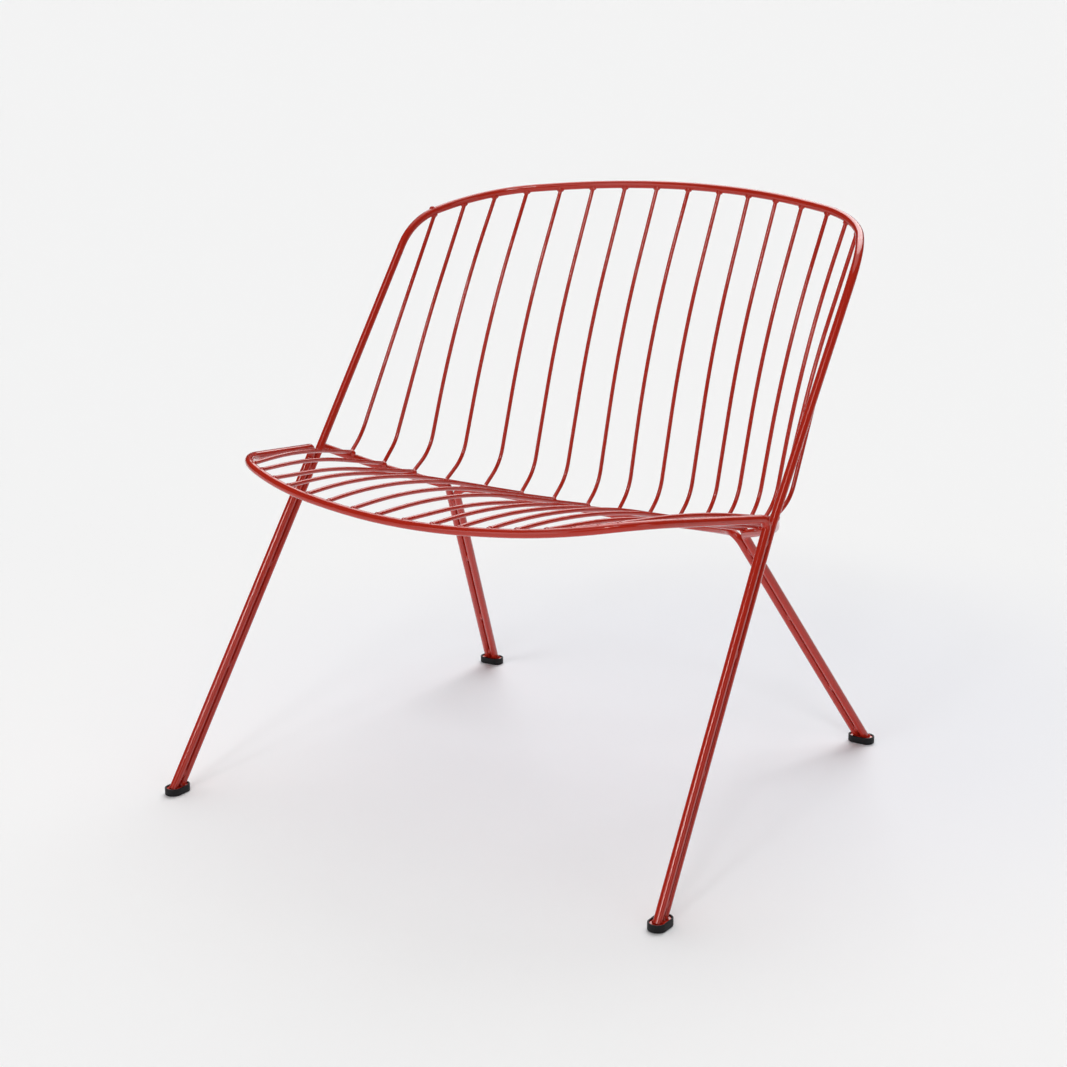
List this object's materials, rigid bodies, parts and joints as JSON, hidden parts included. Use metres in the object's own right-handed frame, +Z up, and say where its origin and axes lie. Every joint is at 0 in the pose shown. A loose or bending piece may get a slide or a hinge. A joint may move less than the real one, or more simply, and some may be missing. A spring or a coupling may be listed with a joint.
{
  "type": "outdoor lounge chair",
  "caption": "Low armless lounge chair of welded painted steel rod, with a wire seat and back, splayed twin-rod legs and rubber feet.",
  "frame": {"origin": "on the floor, at the middle of the box around the whole chair", "axes": "+X towards the sitter's left, +Y towards the back of the chair, +Z up; the sitter faces -Y"},
  "size_m": [0.6866, 0.6588, 0.6889],
  "materials": {
    "frame_paint": "gloss",
    "foot_rubber": "matte"
  },
  "bodies": {
    "root": {"back_hoop": "frame_paint", "seat_rim": "frame_paint", "rear_crossbar": "frame_paint", "rear_arm_left": "frame_paint", "rear_arm_right": "frame_paint", "seat_wire_01": "frame_paint", "seat_wire_02": "frame_paint", "seat_wire_03": "frame_paint", "seat_wire_04": "frame_paint", "seat_wire_05": "frame_paint", "seat_wire_06": "frame_paint", "seat_wire_07": "frame_paint", "seat_wire_08": "frame_paint", "seat_wire_09": "frame_paint", "seat_wire_10": "frame_paint", "seat_wire_11": "frame_paint", "seat_wire_12": "frame_paint", "seat_wire_13": "frame_paint", "seat_wire_14": "frame_paint", "seat_wire_15": "frame_paint", "seat_wire_16": "frame_paint", "seat_wire_17": "frame_paint", "leg_bridges_front_left": "frame_paint", "leg_bridges_front_right": "frame_paint", "leg_bridges_rear_left": "frame_paint", "leg_bridges_rear_right": "frame_paint", "foot_plate_front_left": "frame_paint", "foot_plate_front_right": "frame_paint", "foot_plate_rear_left": "frame_paint", "foot_plate_rear_right": "frame_paint", "foot_cap_front_left": "foot_rubber", "foot_cap_front_right": "foot_rubber", "foot_cap_rear_left": "foot_rubber", "foot_cap_rear_right": "foot_rubber"}
  },
  "joints": []
}
